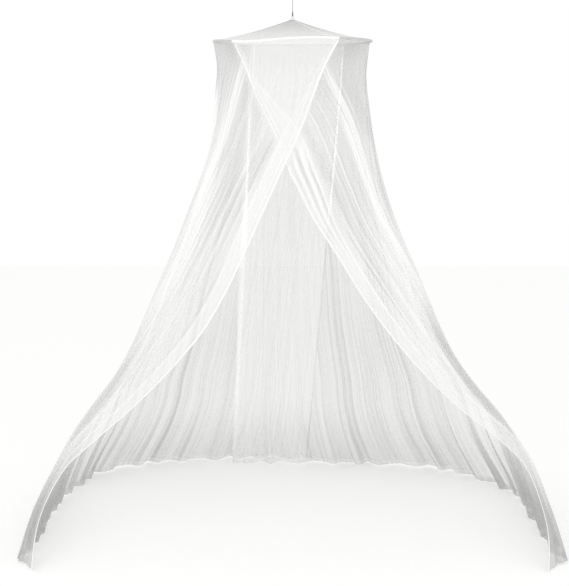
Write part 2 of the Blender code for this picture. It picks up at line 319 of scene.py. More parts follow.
def add_node(tree, kind, settings=None, **inputs):
    """Adds a node, with its settings and with its inputs as values, sockets or nodes that are
    linked from their first output.  An input _0 is the first one."""
    node = tree.nodes.new(kind)
    for name, value in (settings or {}).items():
        setattr(node, name, value)
    for name, value in inputs.items():
        number = name[1:]
        socket = node.inputs[int(number) if number.isdigit() else name.replace("_", " ")]
        if isinstance(value, bpy.types.Node):
            value = value.outputs[0]
        if isinstance(value, bpy.types.NodeSocket):
            tree.links.new(value, socket)
        else:
            socket.default_value = value
    return node


def new_material(name):
    """A material with an empty node tree, and its tree."""
    material = bpy.data.materials.new(name)
    material.use_nodes = True
    material.node_tree.nodes.clear()
    # Its glow is too faint to be sampled as a lamp
    material.cycles.emission_sampling = "NONE"
    return material, material.node_tree


def finish_material(material, shader):
    add_node(material.node_tree, "ShaderNodeOutputMaterial", Surface=shader)
    return material


def opaque(colour, share=1.0):
    """A colour for a socket, darker or lighter by a share."""
    return (*(min(share * value, 1.0) for value in colour), 1.0)


# --- materials ------------------------------------------------------------------------------

def polyester_netting():
    """Warp-knitted polyester netting, heat set.  One layer is barely there, and wherever it
    is bunched, doubled or turned over it closes up to a soft chalky white."""
    colours, cloth = bpy.context.scene.canopy_colours, bpy.context.scene.canopy_cloth
    material, tree = new_material("polyester_netting")
    uv = add_node(tree, "ShaderNodeUVMap", {"uv_map": "cloth"})
    count = add_node(tree, "ShaderNodeAttribute", {"attribute_name": "net_layers"})
    # Threads that bunch and open along the drop: long streaks 20 mm wide
    along = add_node(tree, "ShaderNodeMapping", _0=uv, Scale=(50.0, 0.9, 1.0))
    streaks = add_node(tree, "ShaderNodeTexNoise", Vector=along, Scale=1.0, Detail=3.0,
                       Roughness=0.6)
    bunched = add_node(tree, "ShaderNodeMapRange", Value=streaks, From_Min=0.3, From_Max=0.7,
                       To_Min=0.78, To_Max=1.24)
    # The mesh is 1.6 mm; its rows are drawn 10 mm apart so that they can show at all
    mesh = add_node(tree, "ShaderNodeTexWave", {"bands_direction": "DIAGONAL"}, Vector=uv,
                    Scale=45.0, Distortion=0.0)
    knitted = add_node(tree, "ShaderNodeMapRange", Value=mesh.outputs["Fac"], To_Min=0.95,
                       To_Max=1.05)
    layers = add_node(tree, "ShaderNodeMath", {"operation": "MULTIPLY"},
                      _0=count.outputs["Fac"], _1=bunched)
    threads = add_node(tree, "ShaderNodeMath", {"operation": "MULTIPLY"}, _0=layers, _1=knitted)
    through = add_node(tree, "ShaderNodeMath", {"operation": "POWER"}, _0=cloth.sheerness,
                       _1=threads)
    cover = add_node(tree, "ShaderNodeMath", {"operation": "SUBTRACT"}, _0=1.0, _1=through)
    # Whiteness from the layers of net, lowered where painted shade lies
    white = add_node(tree, "ShaderNodeAttribute", {"attribute_name": "net_white_and_shade"}).outputs["Fac"]
    shade = add_node(tree, "ShaderNodeMixRGB", Fac=white, Color1=opaque(colours.open_and_shaded_net),
                     Color2=opaque(colours.net))
    # Painted glow, which lightens the net though it is no lamp, most of it where the net is
    # bunched
    painted_glow = add_node(tree, "ShaderNodeMapRange", Value=white, From_Min=0.3, To_Min=0.0,
                      To_Max=0.05)
    shader = add_node(tree, "ShaderNodeBsdfPrincipled", Base_Color=shade, Roughness=0.8,
                      IOR=1.45, Alpha=cover, Specular_IOR_Level=0.2, Sheen_Weight=0.25,
                      Emission_Color=WHITE, Emission_Strength=painted_glow)
    return finish_material(material, shader)


def woven_tape():
    """Woven polyester binding tape, calendered flat: dense, bright white, with a fine twill
    that only softens its sheen."""
    colours = bpy.context.scene.canopy_colours
    material, tree = new_material("woven_tape")
    uv = add_node(tree, "ShaderNodeUVMap", {"uv_map": "cloth"})
    # Twill ridges are 0.7 mm apart; they are drawn 2.2 mm apart so that they can show
    twill = add_node(tree, "ShaderNodeTexWave", {"bands_direction": "DIAGONAL"}, Vector=uv,
                     Scale=200.0, Distortion=0.4).outputs["Fac"]
    ridged = add_node(tree, "ShaderNodeMixRGB", Fac=twill, Color1=opaque(colours.tape, 0.93),
                      Color2=opaque(colours.tape))
    # Painted shade on the hoop band: greyer where only one panel hangs from it, and at the back
    single = add_node(tree, "ShaderNodeAttribute", {"attribute_name": "single_hem_shade"})
    shade = add_node(tree, "ShaderNodeMixRGB", Fac=single.outputs["Fac"], Color1=ridged,
                     Color2=opaque(colours.tape, 0.60))
    bump = add_node(tree, "ShaderNodeBump", Height=twill, Strength=0.35, Distance=0.0004)
    # Painted glow, which lightens the tape though it is no lamp
    glow = add_node(tree, "ShaderNodeAttribute", {"attribute_name": "tape_painted_glow"})
    shader = add_node(tree, "ShaderNodeBsdfPrincipled", Base_Color=shade, Roughness=0.75,
                      IOR=1.45, Normal=bump, Specular_IOR_Level=0.3, Sheen_Weight=0.3,
                      Emission_Color=WHITE, Emission_Strength=glow.outputs["Fac"])
    return finish_material(material, shader)


def twisted_cord():
    """Twisted polyester cord: matt grey, with fibres that lie along its strands."""
    colours = bpy.context.scene.canopy_colours
    material, tree = new_material("twisted_polyester_cord")
    where = add_node(tree, "ShaderNodeTexCoord").outputs["Object"]
    # Fibre bundles 0.4 mm across
    stretch = add_node(tree, "ShaderNodeMapping", _0=where, Scale=(2500.0, 2500.0, 500.0))
    fibres = add_node(tree, "ShaderNodeTexNoise", Vector=stretch, Scale=1.0, Detail=2.0)
    shade = add_node(tree, "ShaderNodeMixRGB", Fac=fibres, Color1=opaque(colours.cord, 0.75),
                     Color2=opaque(colours.cord, 1.15))
    bump = add_node(tree, "ShaderNodeBump", Height=fibres, Strength=0.4, Distance=0.0002)
    shader = add_node(tree, "ShaderNodeBsdfPrincipled", Base_Color=shade, Roughness=0.85,
                      Normal=bump, Sheen_Weight=0.2)
    return finish_material(material, shader)


def moulded_plastic(name, colour, roughness, grain):
    """Moulded or extruded plastic: an even colour with the faint grain of its tool."""
    material, tree = new_material(name)
    where = add_node(tree, "ShaderNodeTexCoord").outputs["Object"]
    pitted = add_node(tree, "ShaderNodeTexNoise", Vector=where, Scale=1.0 / grain, Detail=3.0)
    rough = add_node(tree, "ShaderNodeMapRange", Value=pitted, From_Min=0.3, From_Max=0.7,
                     To_Min=roughness - 0.08, To_Max=roughness + 0.08)
    bump = add_node(tree, "ShaderNodeBump", Height=pitted, Strength=0.15, Distance=grain / 4)
    shader = add_node(tree, "ShaderNodeBsdfPrincipled", Base_Color=opaque(colour),
                      Roughness=rough, IOR=1.49, Normal=bump)
    return finish_material(material, shader)


def opal_floor():
    """Opal acrylic studio floor, lit a little from below so that it meets the room evenly
    and keeps only soft shadows."""
    colours = bpy.context.scene.canopy_colours
    material, tree = new_material("opal_acrylic_floor")
    shader = add_node(tree, "ShaderNodeBsdfPrincipled", Base_Color=opaque(colours.floor),
                      Roughness=0.9, Specular_IOR_Level=0.1, Emission_Color=WHITE,
                      Emission_Strength=0.14)
    return finish_material(material, shader)


def shared(name, make):
    """The material of that name, made the first time that it is asked for."""
    return bpy.data.materials.get(name) or make()


def netting():
    return shared("polyester_netting", polyester_netting)


def tape():
    return shared("woven_tape", woven_tape)


def cord():
    return shared("twisted_polyester_cord", twisted_cord)


# --- stage ----------------------------------------------------------------------------------

def add_light(name, place, aim, size, watts):
    light = bpy.data.lights.new(name, "AREA")
    light.shape = "DISK"
    light.size = size
    light.energy = watts
    lamp = place_in_scene(name, light)
    lamp.location = place
    lamp.rotation_euler = (Vector(aim) - Vector(place)).to_track_quat("-Z", "Y").to_euler()


def add_camera(stage):
    data = bpy.data.cameras.new("camera")
    data.lens = stage.focal_length
    data.sensor_width = 36.0
    camera = place_in_scene("camera", data)
    camera.location = (-stage.camera_side, -stage.camera_away, level(stage.camera_height))
    camera.rotation_euler = (math.pi / 2 - stage.camera_tilt, 0.0, 0.0)
    bpy.context.scene.camera = camera


def add_world():
    """An even white room.  What is seen of it directly is a little brighter than what it
    sheds on the net, as in a studio with a separately lit backdrop."""
    world = bpy.data.worlds.new("white_room")
    world.use_nodes = True
    tree = world.node_tree
    tree.nodes.clear()
    path = add_node(tree, "ShaderNodeLightPath")
    strength = add_node(tree, "ShaderNodeMapRange", Value=path.outputs["Is Camera Ray"],
                        To_Min=0.90, To_Max=1.0)
    sky = add_node(tree, "ShaderNodeBackground", Color=WHITE, Strength=strength)
    add_node(tree, "ShaderNodeOutputWorld", Surface=sky)
    bpy.context.scene.world = world


def add_floor():
    half, depth = FLOOR_SIZE / 2, level(0.0) - FLOOR_BELOW
    corners = [(-half, -half, depth), (half, -half, depth), (half, half, depth),
               (-half, half, depth)]
    mesh = make_mesh("floor", corners, [(0, 1, 2, 3)])
    mesh.materials.append(opal_floor())
    place_in_scene("floor", mesh)


# --- cord, knot and loop --------------------------------------------------------------------

def cord_ends():
    """Z of the cord's foot in the ferrule and of its top under the knot."""
    foot = ferrule_foot() + FERRULE_LENGTH + GAP
    return foot, -LOOP_LENGTH - GAP - KNOT_LENGTH - GAP


def strand_reach(angle):
    """How far three round strands laid together reach at an angle, from 0 to 1."""
    strand = 1.0 / (1.0 + 2.0 / math.sqrt(3.0))
    turned = (angle + math.pi / 3) % (math.tau / 3) - math.pi / 3
    aside = (1.0 - strand) * math.sin(turned)
    reach = (1.0 - strand) * math.cos(turned) + math.sqrt(max(strand ** 2 - aside ** 2, 0.0))
    return max(reach, STRAND_GROOVE)


def twisted_tube(path, lay=CORD_LAY, closed=False):
    """Points and faces of a cord of three strands that twist once in each lay."""
    sides = 24
    points = []
    count = len(path)
    travelled = 0.0
    side = Vector((0.0, 1.0, 0.0))
    for index, place in enumerate(path):
        before = path[index - 1] if index or closed else place
        after = path[(index + 1) % count] if index < count - 1 or closed else place
        along = (after - before).normalized()
        side = (side - along * side.dot(along)).normalized()
        other = along.cross(side)
        if index:
            travelled += (place - path[index - 1]).length
        twist = math.tau * travelled / lay
        for step in range(sides):
            angle = math.tau * step / sides
            reach = CORD_RADIUS * strand_reach(angle - twist)
            points.append(place + (side * math.cos(angle) + other * math.sin(angle)) * reach)
    if closed:
        return points, grid_faces(count, sides, closed=True, ring=True)
    return points, capped_faces(count, sides)


def add_hanging_cord():
    foot, top = cord_ends()
    # The same straight route as the cord's solid, with the points that its twist needs
    steps = 260
    path = [Vector((0.0, 0.0, foot + (top - foot) * step / steps)) for step in range(steps + 1)]
    points, faces = twisted_tube(path)
    mesh = make_mesh("cord_twisted", points, faces, sharp=60)
    return add_piece(mesh, "hanging_cord", "cord", cord()), path


def add_ceiling_loop():
    centre = -LOOP_LENGTH / 2
    sides = 240
    across, tall = LOOP_WIDTH / 2 - CORD_RADIUS, LOOP_LENGTH / 2 - CORD_RADIUS
    path = [Vector((across * math.sin(math.tau * side / sides), 0.0,
                    centre + tall * math.cos(math.tau * side / sides)))
            for side in range(sides)]
    round_length = sum((path[side] - path[side - 1]).length for side in range(sides))
    # Whole turns, so that the strands meet again where the loop closes
    lay = round_length / round(round_length / CORD_LAY)
    points, faces = twisted_tube(path, lay, closed=True)
    mesh = make_mesh("cord_loop", points, faces, sharp=60)
    return add_piece(mesh, "ceiling_loop", "cord", cord())


def add_knot():
    """Overhand knot: the cord drawn tight in turns round itself."""
    half = KNOT_LENGTH / 2
    middle = -LOOP_LENGTH - GAP - half
    through = [Vector((0.0, 0.0, middle + (half + 2 * GAP) * (1.0 - 2.0 * step / 30)))
               for step in range(31)]
    points, faces = twisted_tube(through)
    steps, turns = 200, 2.6
    path = []
    for step in range(steps + 1):
        share = step / steps
        angle = math.tau * turns * share
        reach = (KNOT_RADIUS - CORD_RADIUS) * min(math.sin(math.pi * share) * 2.2, 1.0)
        rise = (half - CORD_RADIUS) * (1.0 - 2.0 * share)
        path.append(Vector((reach * math.cos(angle), reach * math.sin(angle), middle + rise)))
    turned, turned_faces = twisted_tube(path)
    faces += [tuple(len(points) + index for index in face) for face in turned_faces]
    mesh = make_mesh("cord_knot", points + turned, faces, sharp=60)
    return add_piece(mesh, "loop_knot", "cord", cord())


# --- hoop, band, roof and apex --------------------------------------------------------------

def band_top():
    """Top of the hoop band above the hoop's plane."""
    return HOOP_ROD + GAP + BAND_WALL


def roof_base():
    return level(HOOP_HEIGHT) + band_top() + GAP


def roof_height(radius):
    """Height of the roof's under side above its rim."""
    return ROOF_RISE * (1.0 - min(radius / HOOP_RADIUS, 1.0)) ** ROOF_SLOPE


def cap_under(radius):
    return roof_height(radius) + GAP + NET


def ferrule_foot():
    return roof_base() + cap_under(ROOF_HOLE) + CAP_HEIGHT + GAP


def around(radius, angle, z):
    """A point at an angle around from the front."""
    return (radius * math.sin(angle), -radius * math.cos(angle), z)


def single_hem_shade(angle):
    """0 where both panels hang from the front of the hoop, and 1 where one hangs.  The back,
    seen through the net, lies between the two."""
    # This places the hoop band's painted shade and painted glow
    degrees = math.degrees(math.remainder(angle, math.tau))
    start, end = SECTIONS[0].right_edge, SECTIONS[0].left_edge
    front = smooth_step(degrees, start, start + 1.5) * smooth_step(end - degrees, 0.0, 1.5)
    return 1.0 - max(front, 0.62 * smooth_step(abs(degrees), 95.0, 140.0))


def hoop_faces(steps, sides):
    """Faces of a closed profile that is carried all the way round the hoop."""
    return flipped(grid_faces(steps, sides, closed=True, ring=True))


def add_rod():
    """The hoop's rod, extruded and sprung round inside its binding."""
    steps, sides = 336, 16
    points = [around(HOOP_RADIUS + HOOP_ROD * math.cos(math.tau * side / sides),
                     math.tau * step / steps,
                     level(HOOP_HEIGHT) + HOOP_ROD * math.sin(math.tau * side / sides))
              for step in range(steps) for side in range(sides)]
    rod = moulded_plastic("extruded_polypropylene", bpy.context.scene.canopy_colours.rod, 0.35,
                          0.002)
    add_piece(make_mesh("hoop_rod", points, hoop_faces(steps, sides)), "hoop", "rod", rod)


def add_band():
    """Folded binding over the hoop, puckered a little by its stitches."""
    steps, stitches = 672, 112
    outer, inner = BAND_HALF + BAND_WALL / 2, BAND_HALF - BAND_WALL / 2
    ceiling = HOOP_ROD + GAP
    soft = 0.0022                # how far its rounded top edges reach
    profile = [(outer, -BAND_SEEN), (outer, -0.001), (outer, band_top() - soft),
               (outer - soft * 0.3, band_top() - soft * 0.3), (outer - soft, band_top()),
               (soft - outer, band_top()), (soft * 0.3 - outer, band_top() - soft * 0.3),
               (-outer, band_top() - soft), (-outer, -0.001), (-outer, -BAND_SEEN),
               (-inner, -BAND_SEEN), (-inner, ceiling), (inner, ceiling), (inner, -BAND_SEEN)]
    points, uvs, single, glows = [], [], [], []
    for step in range(steps):
        angle = math.tau * step / steps
        one_hem = single_hem_shade(angle)
        for index, (out, up) in enumerate(profile):
            single.append(one_hem)
            # Painted glow on the band, strongest where both panels hang
            glows.append(0.12 - 0.08 * one_hem)
            pucker = 0.0004 * math.sin(stitches * angle + index) * (abs(out) > inner)
            sag = 0.0005 * math.sin(23 * angle) + 0.0004 * math.sin(37 * angle + 1.0)
            points.append(around(HOOP_RADIUS + out + pucker, angle,
                                 level(HOOP_HEIGHT) + up + sag * (up < 0.0)))
            uvs.append((HOOP_RADIUS * angle, 0.002 * index))
    mesh = make_mesh("hoop_binding", points, hoop_faces(steps, len(profile)), uvs=uvs,
                     values={"single_hem_shade": single, "tape_painted_glow": glows}, sharp=50)
    add_piece(mesh, "hoop_band", "tape", tape())


def roof_ripple(radius, angle):
    """How far the gathered roof net stands off its smooth slope."""
    share = radius / HOOP_RADIUS
    drift = 1.6 * math.sin(3.0 * angle) + 0.9 * math.sin(7.0 * angle + 1.0)
    wave = math.sin(ROOF_GATHERS * angle + drift)
    wave += 0.45 * math.sin(27.0 * angle + 2.0) * share
    strength = 0.75 + 0.5 * noise.noise(Vector((4.0 * math.sin(angle), 4.0 * math.cos(angle),
                                                3.0 * share)))
    return 0.0022 * wave * strength * (share * (1.0 - share)) ** 0.7


def add_roof():
    """Net roof, drawn in at the apex, with its one welted seam."""
    columns = ROOF_GATHERS * GATHER_STEPS
    rim = HOOP_RADIUS - 0.0005
    rows = [ROOF_HOLE + (rim - ROOF_HOLE) * (row / ROOF_ROWS) ** 1.15
            for row in range(ROOF_ROWS + 1)]
    points, uvs, layers, white = [], [], [], []

    def add_point(radius, angle, lift, count, whiteness):
        up = roof_base() + NET / 2 + roof_height(radius) + roof_ripple(radius, angle)
        points.append(around(radius, angle, up + lift))
        uvs.append((ROOF_TURN * angle, radius))
        layers.append(count)
        white.append(whiteness)

    for radius in rows:
        # The net is drawn together toward the apex, greyed there by painted shade, whitest by
        # the rim
        count = min(1.8 + 0.42 * HOOP_RADIUS / (radius + 0.02), 7.0)
        whiteness = 0.03 + 0.48 * smooth_step(radius, 0.04, 0.30)
        for column in range(columns):
            add_point(radius, math.tau * column / columns, 0.0, count, whiteness)
    faces = grid_faces(len(rows), columns, closed=True)
    # The seam's raised welt, which leaves the apex clear
    first = len(points)
    seam_rows = rows[2:]
    for radius in seam_rows:
        for side, lift in SEAM_WELT:
            angle = math.radians(SEAM_ANGLE) + side * SEAM_WIDTH / 2 / radius
            add_point(radius, angle, lift, SEAM_LAYERS, 1.0)
    welt = [tuple(first + index for index in face)
            for face in grid_faces(len(seam_rows), len(SEAM_WELT))]
    mesh = make_mesh("roof_netting", points, faces + welt, uvs=uvs,
                     values={"net_layers": layers, "net_white_and_shade": white})
    for polygon in mesh.polygons[len(faces):]:
        polygon.material_index = 1
    piece = add_piece(mesh, "roof_net", "net", netting(), tape())


def add_apex():
    """The roof's drawn-up tip, bound with thread."""
    steps, pleats = 72, 12
    top = cap_under(ROOF_HOLE) + CAP_HEIGHT
    middle = (CAP_RADIUS + ROOF_HOLE) / 2
    # Its under side, the fluted slope, and above that the neck with the turns of its thread
    profile = [(ROOF_HOLE, cap_under(ROOF_HOLE) + 0.0001), (middle, cap_under(middle) + 0.0001),
               (CAP_RADIUS, cap_under(CAP_RADIUS)), (0.0125, cap_under(0.0125) + 0.0013),
               (0.0100, cap_under(0.0100) + 0.0026), (0.0078, cap_under(0.0078) + 0.0042),
               (0.0060, top - 0.0048), (0.0047, top - 0.0036), (0.0050, top - 0.0028),
               (0.0044, top - 0.0020), (0.0048, top - 0.0012), (0.0038, top - 0.0003),
               (0.0026, top)]
    points, uvs = [], []
    for index, (radius, up) in enumerate(profile):
        fluted = 0.08 * (2 < index < 7)
        for step in range(steps):
            angle = math.tau * step / steps
            flute = fluted * math.sin(pleats * angle + 0.4 * index) - fluted
            points.append(around(radius * (1.0 + flute), angle, roof_base() + up))
            uvs.append((0.015 * angle, 0.002 * index))
    values = {"net_layers": [14.0] * len(points), "net_white_and_shade": [0.80] * len(points)}
    mesh = make_mesh("apex_gather", points, capped_faces(len(profile), steps), uvs=uvs,
                     values=values, sharp=60)
    add_piece(mesh, "apex_cap", "net", netting())


def add_sleeve():
    """The cord's sleeve, which seats in the gather below it and round the cord above it."""
    sides = 40
    outline = [(0.0, -0.0008), (0.0023, -0.0008), (0.0026, 0.0), (FERRULE_RADIUS, 0.0005),
               (FERRULE_RADIUS, 0.0052), (0.0027, 0.0060), (0.0022, 0.0155), (0.0019, 0.0176),
               (0.0016, FERRULE_LENGTH), (0.0011, FERRULE_LENGTH + 0.0008),
               (0.0, FERRULE_LENGTH + 0.0008)]
    points = [around(max(radius, 0.0001), math.tau * side / sides, ferrule_foot() + up)
              for radius, up in outline for side in range(sides)]
    mesh = make_mesh("ferrule_sleeve", points, capped_faces(len(outline), sides), sharp=35)
    nylon = moulded_plastic("moulded_nylon", bpy.context.scene.canopy_colours.ferrule, 0.45,
                            0.0006)
    add_piece(mesh, "cord_ferrule", "ferrule", nylon)


# --- skirt ----------------------------------------------------------------------------------

def section_at(height):
    """The skirt's section at a height, from a smooth curve through the table's rows."""
    last = len(SECTIONS) - 1
    upper = max(index for index in range(last) if SECTIONS[index].height >= height)
    near = [SECTIONS[min(max(index, 0), last)] for index in range(upper - 1, upper + 3)]
    span = near[1].height - near[2].height
    share = (near[1].height - height) / span
    values = [height]
    for before, start, end, after in list(zip(*near))[1:]:
        leaving = (end - before) / (near[0].height - near[2].height) * span
        arriving = (after - start) / (near[1].height - near[3].height) * span
        values.append((2 * share ** 3 - 3 * share ** 2 + 1) * start
                      + (share ** 3 - 2 * share ** 2 + share) * leaving
                      + (3 * share ** 2 - 2 * share ** 3) * end
                      + (share ** 3 - share ** 2) * arriving)
    return Section(*values)


def fallen(height):
    """0 at the hoop and 1 at the hem."""
    return 1.0 - height / HOOP_HEIGHT


def cloth_level(height, across):
    """The Z of a point of a panel, whose hem rises and falls a little."""
    rise = HEM_UNEVEN * (1.0 + math.sin(HEM_WAVES * across)) / 2
    return level(height) + rise * fallen(height) ** 4


def signed_power(value, power):
    return math.copysign(abs(value) ** power, value)


def back_squareness(fall):
    return 2.0 + (BACK_SQUARENESS - 2.0) * fall


def wall_point(section, angle):
    """A point of the skirt's smooth section in plan; the angle runs from the front to +X."""
    fall = fallen(section.height)
    if math.cos(angle) > 0.0:
        reach = HOOP_RADIUS + (FRONT_REACH - HOOP_RADIUS) * fall ** FRONT_REACH_POWER
        squareness = 2.0 + (FRONT_SQUARENESS - 2.0) * fall ** FRONT_SQUARENESS_POWER
    else:
        reach = HOOP_RADIUS + (BACK_REACH - HOOP_RADIUS) * fall ** BACK_REACH_POWER
        squareness = back_squareness(fall)
    width = section.right_width if math.sin(angle) > 0.0 else section.left_width
    return Vector((width * signed_power(math.sin(angle), 2.0 / squareness),
                   -reach * signed_power(math.cos(angle), 2.0 / squareness), 0.0))


def back_edge(panel, fall):
    """X of a panel's back edge."""
    return BACK_EDGE_TOP[panel] + (BACK_EDGE_HEM[panel] - BACK_EDGE_TOP[panel]) * fall


def edge_angles(panel, section):
    """Where the panel's front edge and back edge cross the section, in radians."""
    fall = fallen(section.height)
    place = back_edge(panel, fall)
    width = section.left_width if place < 0.0 else section.right_width
    turn = math.pi + math.asin((abs(place) / width) ** (back_squareness(fall) / 2.0))
    if panel == "right":
        return math.radians(section.right_edge), turn
    return math.radians(section.left_edge), -turn


def wall_line(panel, height):
    """The panel's smooth course in plan at a height, from its front edge to its back edge,
    as (length so far, point, outward direction)."""
    section = section_at(height)
    start, end = edge_angles(panel, section)
    points = [wall_point(section, start + (end - start) * step / WALL_STEPS)
              for step in range(WALL_STEPS + 1)]
    line = []
    length = 0.0
    for index, point in enumerate(points):
        along = points[min(index + 1, WALL_STEPS)] - points[max(index - 1, 0)]
        outward = Vector((along.y, -along.x, 0.0)).normalized()
        length += (point - points[max(index - 1, 0)]).length
        line.append((length, point, outward if panel == "right" else -outward))
    return line


def layer_offset(panel, fall, outward):
    """How far the panel lies off the middle surface, so that one passes the other."""
    overlap = min(max((abs(outward.y) - OVERLAP_FROM) / OVERLAP_FADE, 0.0), 1.0)
    if outward.y < 0.0:
        overlap *= max(1.0 - fall / FRONT_LAYER_END, 0.0) ** 0.5
    return LAYER_SIDE[panel] * (BAND_HALF + LAYER_STEP * fall * overlap)


Fold = namedtuple("Fold", "start width crest trough power")


def main_folds(panel):
    """The panel's main folds, from its front margin to its back margin, as in its solid.  The
    sines step out of time with one another, so that no two folds are alike."""
    seed = FOLD_SEED[panel]
    widths = [1.0 + FOLD_WIDTH_VARIES * math.sin(1.9 * index + seed) for index in range(FOLDS)]
    room = (1.0 - FRONT_MARGIN - BACK_MARGIN) / sum(widths)
    start = FRONT_MARGIN
    folds = []
    for index, width in enumerate(widths):
        crest = 1.0 + FOLD_DEPTH_VARIES * math.sin(2.7 * index + seed)
        trough = -1.0 - FOLD_DEPTH_VARIES * math.sin(2.2 * index + 2.0 * seed)
        power = FOLD_POWER + FOLD_POWER_VARIES * math.sin(3.1 * index + seed)
        folds.append(Fold(start, width * room, crest, trough, power))
        start += width * room
    return folds


def fold_depth(folds, across, fall):
    """How far the main folds carry the net outward at a point."""
    for fold in folds:
        share = (across - fold.start) / fold.width
        if 0.0 <= share < 1.0:
            if share < 0.52:
                wave = fold.crest * math.sin(math.pi * share / 0.52)
            else:
                wave = fold.trough * math.sin(math.pi * (share - 0.52) / 0.48)
            return FOLD_DEPTH * wave * fall ** fold.power
    return 0.0


Pleat = namedtuple("Pleat", "across width strength top foot")
Stretch = namedtuple("Stretch", "across heights white")

# Narrow pleats that hang closed over part of the drop.  Each has its place across the panel,
# half width, strength, the height where it closes and the height where it has opened.  A
# strength below 0 is a slit between two folds.
SHEAVES = {
    "right": ((0.240, 0.0240, 0.52, 2.12, 0.90), (0.226, 0.0040, 0.6, 2.10, 1.30),
              (0.235, 0.0060, 0.7, 2.06, 1.15), (0.246, 0.0060, 0.6, 2.02, 1.05),
              (0.214, 0.0050, 0.5, 1.94, 1.20), (0.305, 0.0320, 0.50, 1.76, 1.05),
              (0.262, 0.0060, -1.0, 1.99, 1.66), (0.280, 0.0060, -0.9, 1.86, 1.52),
              (0.205, 0.0030, 0.5, 1.90, 1.20), (0.139, 0.0060, 1.0, 1.78, 0.95),
              (0.122, 0.0040, 0.6, 1.70, 1.10), (0.180, 0.0050, 0.5, 1.60, 0.70),
              (0.090, 0.0045, -0.9, 1.66, 1.05), (0.153, 0.0040, -1.0, 1.72, 1.20),
              (0.235, 0.0200, 0.45, 2.08, 1.40), (0.208, 0.0180, 0.60, 1.88, 1.15),
              (0.130, 0.0450, 0.25, 2.00, 1.66), (0.092, 0.0110, 0.5, 1.88, 1.68),
              (0.108, 0.0180, -0.35, 1.60, 1.05), (0.0115, 0.0022, 1.0, 1.92, 1.72),
              (0.012, 0.0026, -0.9, 1.70, 1.45), (0.023, 0.0034, -1.3, 1.74, 1.42),
              (0.035, 0.0034, -1.3, 1.68, 1.40), (0.064, 0.0050, -1.1, 1.40, 0.80)),
    "left": ((0.258, 0.0300, 0.60, 2.12, 0.90), (0.234, 0.0055, 0.8, 2.08, 1.30),
             (0.249, 0.0065, 1.0, 2.12, 1.10), (0.264, 0.0060, 0.9, 2.12, 1.20),
             (0.279, 0.0045, 0.8, 2.10, 1.25), (0.294, 0.0035, 0.5, 2.05, 1.45),
             (0.190, 0.0035, 0.4, 1.90, 1.10), (0.110, 0.0060, 0.6, 1.72, 1.15),
             (0.092, 0.0055, 0.7, 1.64, 1.22), (0.075, 0.0045, -1.1, 1.76, 1.32),
             (0.041, 0.0040, -0.5, 1.30, 0.80), (0.135, 0.0045, -0.7, 1.60, 1.00),
             (0.160, 0.0050, 0.5, 1.60, 0.80), (0.232, 0.0160, 0.45, 2.06, 1.50),
             (0.400, 0.0450, 1.10, 2.00, 1.30), (0.305, 0.0400, 0.40, 1.72, 1.00),
             (0.212, 0.0280, 0.60, 1.66, 0.80), (0.125, 0.0450, 0.30, 2.02, 1.72),
             (0.019, 0.0024, 1.0, 1.96, 1.60)),
}
SIDE_PLEATS = 62             # slighter ones, from the sheaf round to the back
SIDE_GREYER = 0.24           # how much greyer the net looks where its folds shade each other

# Stretches of a panel where the net hangs whiter, and painted shade where the figure is below 0
BUNCHED_AND_SHADED = {
    "right": (Stretch((0.265, 0.360), (1.62, 1.98), -0.34),
              Stretch((0.270, 0.520), (1.90, 2.20), -0.30),
              Stretch((0.060, 0.330), (0.30, 1.12), -0.20),
              Stretch((0.060, 0.120), (1.62, 1.88), 0.12)),
    "left": (Stretch((0.290, 0.600), (1.20, 2.00), 0.55),
             Stretch((0.040, 0.140), (1.62, 1.92), 0.25)),
}


def closed_pleats(panel):
    """All of a panel's closed pleats: its sheaf, and slighter ones that are spread unevenly by
    sines that step out of time with one another."""
    seed = FOLD_SEED[panel]
    pleats = [Pleat(*row) for row in SHEAVES[panel]]
    for index in range(SIDE_PLEATS):
        place = 0.10 + 0.88 * (index + 0.8 * math.sin(2.3 * index + seed)) / SIDE_PLEATS
        width = 0.0030 + 0.0016 * math.sin(1.7 * index + 2.0 * seed)
        strength = 0.34 + 0.26 * math.sin(2.9 * index + 3.0 * seed)
        top = 2.11 - 0.45 * (0.5 + 0.5 * math.sin(4.1 * index + seed)) ** 3
        foot = 0.45 + 0.60 * math.sin(3.7 * index + seed)
        pleats.append(Pleat(place, width, strength, top, foot))
    return pleats


def pleat_value(pleats, across, height):
    """How closed the net is at a point: 0 where it lies open and 1 in a full pleat."""
    value = 0.0
    for pleat in pleats:
        wander = 0.0035 * math.sin(2.6 * height + 90.0 * pleat.across)
        off = (across - pleat.across - wander) / pleat.width
        if abs(off) < 3.2:
            closing = 1.0 - smooth_step(height, pleat.top - 0.16, pleat.top)
            opening = smooth_step(height, pleat.foot - 0.25, pleat.foot + 0.35)
            # A pleat's crest, with the shadow lines of its two folds beside a narrow one
            shadow = 0.40 * (1.0 - smooth_step(pleat.width, 0.010, 0.022))
            crest = math.exp(-off * off) - shadow * math.exp(-((abs(off) - 1.8) / 0.6) ** 2)
            value += pleat.strength * crest * closing * opening
    return min(max(value, -1.0), 1.6)


def bunched_and_shaded_white(panel, across, height):
    """What the stretches that hang whiter, and those of painted shade, add at a point."""
    total = 0.0
    for stretch in BUNCHED_AND_SHADED[panel]:
        (start, end), (foot, top) = stretch.across, stretch.heights
        side = (end - start) * 0.36
        amount = smooth_step(across, start, start + side) * smooth_step(end - across, 0.0, side)
        amount *= smooth_step(height, foot, foot + (top - foot) * 0.4)
        amount *= smooth_step(top - height, 0.0, (top - foot) * 0.3)
        total += stretch.white * amount
    return total


